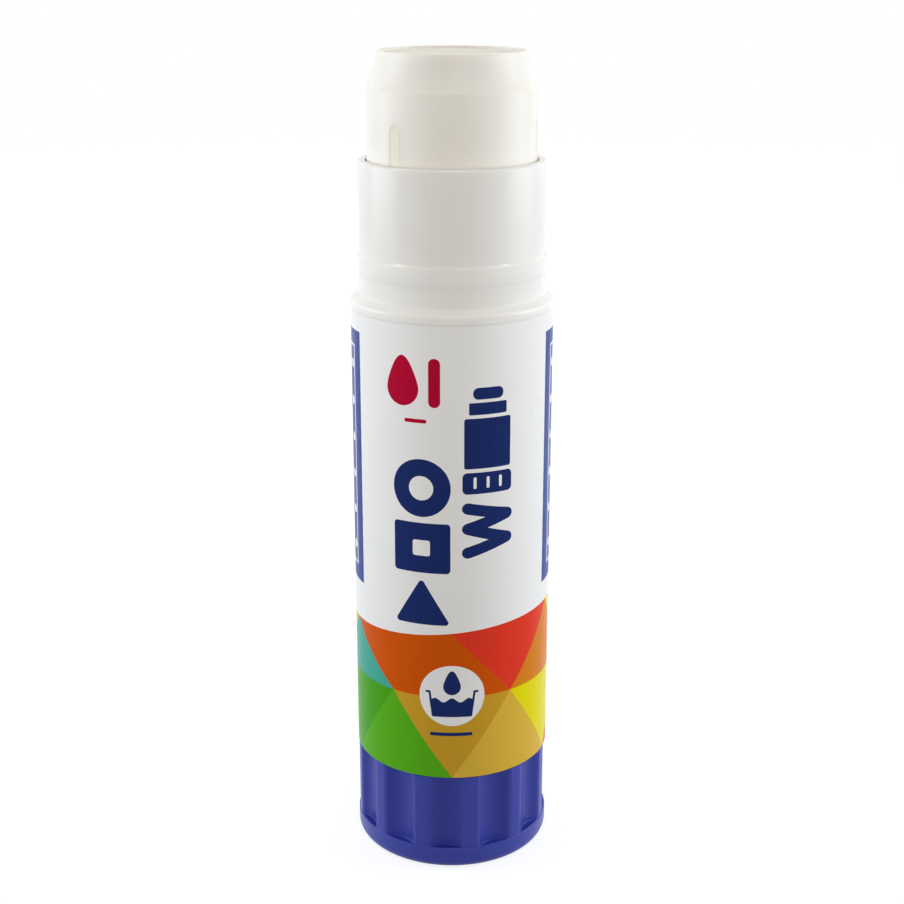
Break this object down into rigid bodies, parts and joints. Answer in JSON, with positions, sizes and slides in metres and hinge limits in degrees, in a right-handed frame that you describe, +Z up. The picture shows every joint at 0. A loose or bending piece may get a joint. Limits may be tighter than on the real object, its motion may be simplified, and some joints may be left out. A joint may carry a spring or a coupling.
{
  "type": "glue stick",
  "caption": "Twist-up glue stick without its cap: a fluted knob turns a coarse lead screw, which lifts the glue out of a slotted inner tube.",
  "frame": {"origin": "centre of the knob's foot, on the surface that the stick stands on, on the stick's axis", "axes": "+Z up along the stick, from the knob to the mouth; -Y is the front, the side of the print that the picture shows; +X is to its right"},
  "size_m": [0.0262, 0.026, 0.1063],
  "materials": {
    "white_barrel_plastic": "glossy white polypropylene",
    "printed_film": "glossy printed film",
    "white_tube_plastic": "satin white polypropylene",
    "blue_knob_plastic": "satin blue polypropylene",
    "natural_screw_plastic": "natural polypropylene",
    "natural_carriage_plastic": "natural polypropylene",
    "glue_solid": "waxy off-white glue"
  },
  "bodies": {
    "barrel": {"outer_barrel": "white_barrel_plastic", "label_film": "printed_film", "inner_tube": "white_tube_plastic"},
    "knob": {"twist_knob": "blue_knob_plastic", "lead_screw": "natural_screw_plastic"},
    "carriage": {"carriage": "natural_carriage_plastic", "glue": "glue_solid"}
  },
  "joints": [
    {"name": "knob_turn", "type": "hinge", "parent": "barrel", "child": "knob", "pos_m": [0, 0, 0], "axis": [0, 0, 1], "range_deg": [0, 4650]},
    {"name": "carriage_rise", "type": "slide", "parent": "barrel", "child": "carriage", "axis": [0, 0, 1], "range_m": [0, 0.07755]}
  ],
  "couplings": [
    {"joint": "carriage_rise", "follows": "knob_turn", "m_per_rad": 0.00095493}
  ]
}
